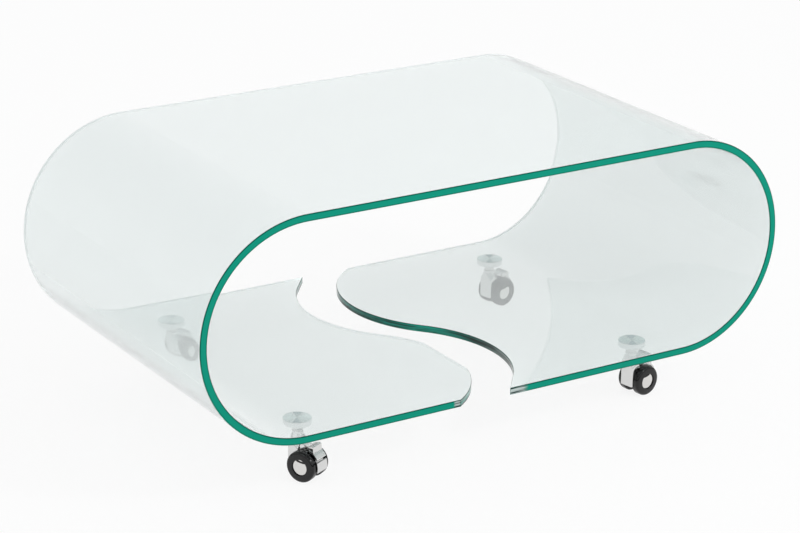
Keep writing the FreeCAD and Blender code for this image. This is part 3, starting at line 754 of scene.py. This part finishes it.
def wheel_profile():
    """Closed outline of the wheel by distance from the axle and from the middle of the castor."""
    tread_middle = WHEEL_RADIUS - TREAD_ROUNDING
    face = dome(tread_middle, SEAT_RADIUS + SEAT_LIP, FACE_CROWN, steps=8) + (0, WHEEL_OUTER)
    tread = quarter(TREAD_ROUNDING, 0, steps=10) + (tread_middle, WHEEL_OUTER - TREAD_ROUNDING)
    lip = quarter(SEAT_LIP, math.pi / 2, steps=6) + face[-1] - (0, SEAT_LIP)
    seat = WHEEL_OUTER - SEAT_DEPTH
    return np.concatenate([
        [(BORE, WHEEL_INNER), (HUB_RADIUS, WHEEL_INNER), (HUB_RADIUS, WHEEL_INNER + HOLLOW_DEPTH),
         (HOLLOW_RADIUS, WHEEL_INNER + HOLLOW_DEPTH), (HOLLOW_RADIUS, WHEEL_INNER),
         (WHEEL_RADIUS - INNER_CHAMFER, WHEEL_INNER), (WHEEL_RADIUS, WHEEL_INNER + INNER_CHAMFER)],
        tread, face[1:], lip[1:], [(SEAT_RADIUS, seat), (BORE, seat), (BORE, WHEEL_INNER)]])


def cap_profile():
    """Outline of the cap: flat back, thin rim and dome, from axis to axis."""
    seat = WHEEL_OUTER - SEAT_DEPTH
    top = dome(CAP_RADIUS - CAP_RIM, 0, CAP_CROWN, steps=16) + (0, seat + CAP_EDGE)
    return np.concatenate([[(0, seat), (CAP_RADIUS, seat), (CAP_RADIUS, seat + CAP_EDGE - CAP_RIM)], top])


def on_axle(points, side):
    """Points turned about Z, laid along the axle on the side given by the sign."""
    x, y, out = np.moveaxis(points, -1, 0)
    return np.stack([TRAIL + x, side * out, AXLE_Z + y], -1)


def wheel_ribs(side):
    """Straight ribs across the hollow, each a slab from hub to rim, turned about the axle."""
    angle = np.arange(RIB_COUNT)[:, None] * 2 * math.pi / RIB_COUNT
    length = np.array([HUB_RADIUS - RIB_BITE, HOLLOW_RADIUS + RIB_BITE] * 4)
    width = np.repeat([-RIB_WIDTH / 2, RIB_WIDTH / 2] * 2, 2)
    out = np.repeat([WHEEL_INNER + RIB_SET_BACK, WHEEL_INNER + HOLLOW_DEPTH + RIB_BITE], 4)
    points = on_axle(np.stack([length * np.cos(angle) - width * np.sin(angle),
                               length * np.sin(angle) + width * np.cos(angle),
                               np.tile(out, (RIB_COUNT, 1))], -1), side)
    slab = np.array([[0, 1, 3, 2], [4, 6, 7, 5], [0, 4, 5, 1], [2, 3, 7, 6], [0, 2, 6, 4], [1, 5, 7, 3]])
    return points, (slab + 8 * np.arange(RIB_COUNT)[:, None, None]).reshape(-1, 4).tolist()


nylon = new_material(
    "black moulded nylon", (0.002, 0.002, 0.0022), roughness=0.09, spread=0.05, scale=150, relief=5e-6,
    Specular_IOR_Level=0.42)
cap_chrome = new_material(
    "chromed cap", (0.70, 0.69, 0.67), roughness=0.05, spread=0.04, scale=120, relief=2e-6, Metallic=1)

for corner in corners:
    for side, sign in (("left", 1), ("right", -1)):
        body = f"{side}_wheel_{corner}"
        for name, node, profile, material, slot in (
                ("moulded_wheel", "wheel", wheel_profile(), nylon, "black_nylon"),
                ("chromed_cap", "hub_cap", cap_profile(), cap_chrome, "chromed_cap")):
            points, quads, turns = revolve(profile, TURN_STEPS)
            points = at_corner(on_axle(points, sign), corner)
            piece = make_turned(f"{name}_{side}_{corner}", points, quads, turns)
            piece.data.materials.append(material)
            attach(piece, body)
            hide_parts(f"{node}_{side}_{corner}")
        points, faces = wheel_ribs(sign)
        ribs = make_piece(f"wheel_ribs_{side}_{corner}", at_corner(points, corner), faces)
        ribs.data.materials.append(nylon)
        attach(ribs, body)


# ------------------------------------------------------------------ axles, pins, washers and rings
# The small pieces inside a castor: a steel axle peened over at both ends, the lever's pin in the ears of
# the housing, the nylon washer that the swivel turns on, and the snap ring that keeps the stem in.

white = new_material(
    "white nylon", (0.80, 0.80, 0.78), roughness=0.4, spread=0.05, scale=150, relief=1e-5)
spring = new_material(
    "phosphated steel", (0.30, 0.30, 0.31), roughness=0.35, spread=0.1, scale=150, relief=1e-5, Metallic=1)

for corner in corners:
    for node, material in (("axle", polished), ("lever_pin", polished), ("thrust_washer", white),
                           ("retaining_ring", spring)):
        small = nodes[f"{node}_{corner}"]
        small.data.materials.clear()
        small.data.materials.append(material)


# ------------------------------------------------------------------ studio
# White sweep, even white surroundings that are darker overhead, one soft lamp high at the right, and a
# dark horizon and ceiling that only metal and other glossy faces mirror.

def seen_through(tree):
    """Socket that is 1 for rays from the camera, from metal or from glass, and 0 for all others."""
    path = tree.nodes.new("ShaderNodeLightPath")
    total = path.outputs["Is Camera Ray"]
    for ray in ("Is Glossy Ray", "Is Transmission Ray"):
        either = tree.nodes.new("ShaderNodeMath")
        either.operation = "MAXIMUM"
        tree.links.new(total, either.inputs[0])
        tree.links.new(path.outputs[ray], either.inputs[1])
        total = either.outputs[0]
    return total


GLOW_SHARE = 0.88                # the rest of the floor's look is its real shade
FLOOR_REACH = 40
floor_corners = [(x * FLOOR_REACH, y * FLOOR_REACH, 0) for x, y in ((-1, -1), (1, -1), (1, 1), (-1, 1))]
floor = make_piece("studio_floor", floor_corners, [[0, 1, 2, 3]])
paper = bpy.data.materials.new("white sweep")
paper.use_nodes = True
tree, shader = opened(paper)
shader.inputs["Base Color"].default_value = (0.94, 0.94, 0.94, 1)
shader.inputs["Roughness"].default_value = 1
shader.inputs["Specular IOR Level"].default_value = 0
glow = tree.nodes.new("ShaderNodeEmission")
share = tree.nodes.new("ShaderNodeMath")
share.operation = "MULTIPLY"
share.inputs[1].default_value = GLOW_SHARE
tree.links.new(seen_through(tree), share.inputs[0])
mix = tree.nodes.new("ShaderNodeMixShader")
tree.links.new(share.outputs[0], mix.inputs["Fac"])
tree.links.new(shader.outputs["BSDF"], mix.inputs[1])
tree.links.new(glow.outputs["Emission"], mix.inputs[2])
tree.links.new(mix.outputs["Shader"], tree.nodes["Material Output"].inputs["Surface"])
floor.data.materials.append(paper)

world = bpy.data.worlds.new("studio")
bpy.context.scene.world = world
world.use_nodes = True
tree = world.node_tree
background = tree.nodes["Background"]
direction = tree.nodes.new("ShaderNodeTexCoord")
height = tree.nodes.new("ShaderNodeSeparateXYZ")
tree.links.new(direction.outputs["Generated"], height.inputs["Vector"])
sky = tree.nodes.new("ShaderNodeValToRGB")
colour_stops(sky.color_ramp, [(0.30, (1.03, 1.03, 1.03)), (0.90, (0.66, 0.67, 0.68))])
tree.links.new(height.outputs["Z"], sky.inputs["Fac"])
mirrored = tree.nodes.new("ShaderNodeValToRGB")
colour_stops(mirrored.color_ramp, [
    (0.0, (0.03, 0.03, 0.03)), (0.13, (0.03, 0.03, 0.03)), (0.17, (1.05, 1.05, 1.05)),
    (0.58, (1.0, 1.0, 1.0)), (0.78, (0.18, 0.18, 0.18))])
tree.links.new(height.outputs["Z"], mirrored.inputs["Fac"])
path = tree.nodes.new("ShaderNodeLightPath")
in_metal = tree.nodes.new("ShaderNodeMath")
in_metal.operation = "SUBTRACT"
in_metal.use_clamp = True
tree.links.new(path.outputs["Is Glossy Ray"], in_metal.inputs[0])
tree.links.new(path.outputs["Is Singular Ray"], in_metal.inputs[1])
lit = mixed(tree, in_metal.outputs[0], sky.outputs["Color"], mirrored.outputs["Color"])
surroundings = mixed(tree, path.outputs["Is Camera Ray"], lit, (1, 1, 1))
tree.links.new(surroundings, background.inputs["Color"])
background.inputs["Strength"].default_value = 1

lamp_data = bpy.data.lights.new("softbox", "AREA")
lamp_data.shape = "RECTANGLE"
lamp_data.size = 0.7
lamp_data.size_y = 0.5
lamp_data.energy = 32
lamp = bpy.data.objects.new("softbox", lamp_data)
lamp.location = (1.4, -2.7, 2.6)
lit_point = Vector((0, 0, 0.3))
lamp.rotation_euler = (lit_point - lamp.location).to_track_quat("-Z", "Y").to_euler()
bpy.context.scene.collection.objects.link(lamp)

camera_data = bpy.data.cameras.new("camera")
camera_data.lens = 119.48
camera_data.sensor_width = 36
camera_data.clip_end = 200
camera = bpy.data.objects.new("camera", camera_data)
bpy.context.scene.collection.objects.link(camera)
right = Vector((0.84504, -0.53453, 0.01341))
back = Vector((-0.50661, -0.79236, 0.33987))
up = back.cross(right)
turn = Matrix((right, up, back)).transposed().to_4x4()
stand = Vector((-2.20405, -3.44175, 1.41865 + LOOP_Z))
camera.matrix_world = Matrix.Translation(stand) @ turn
bpy.context.scene.camera = camera

bpy.context.scene.view_settings.view_transform = "Standard"
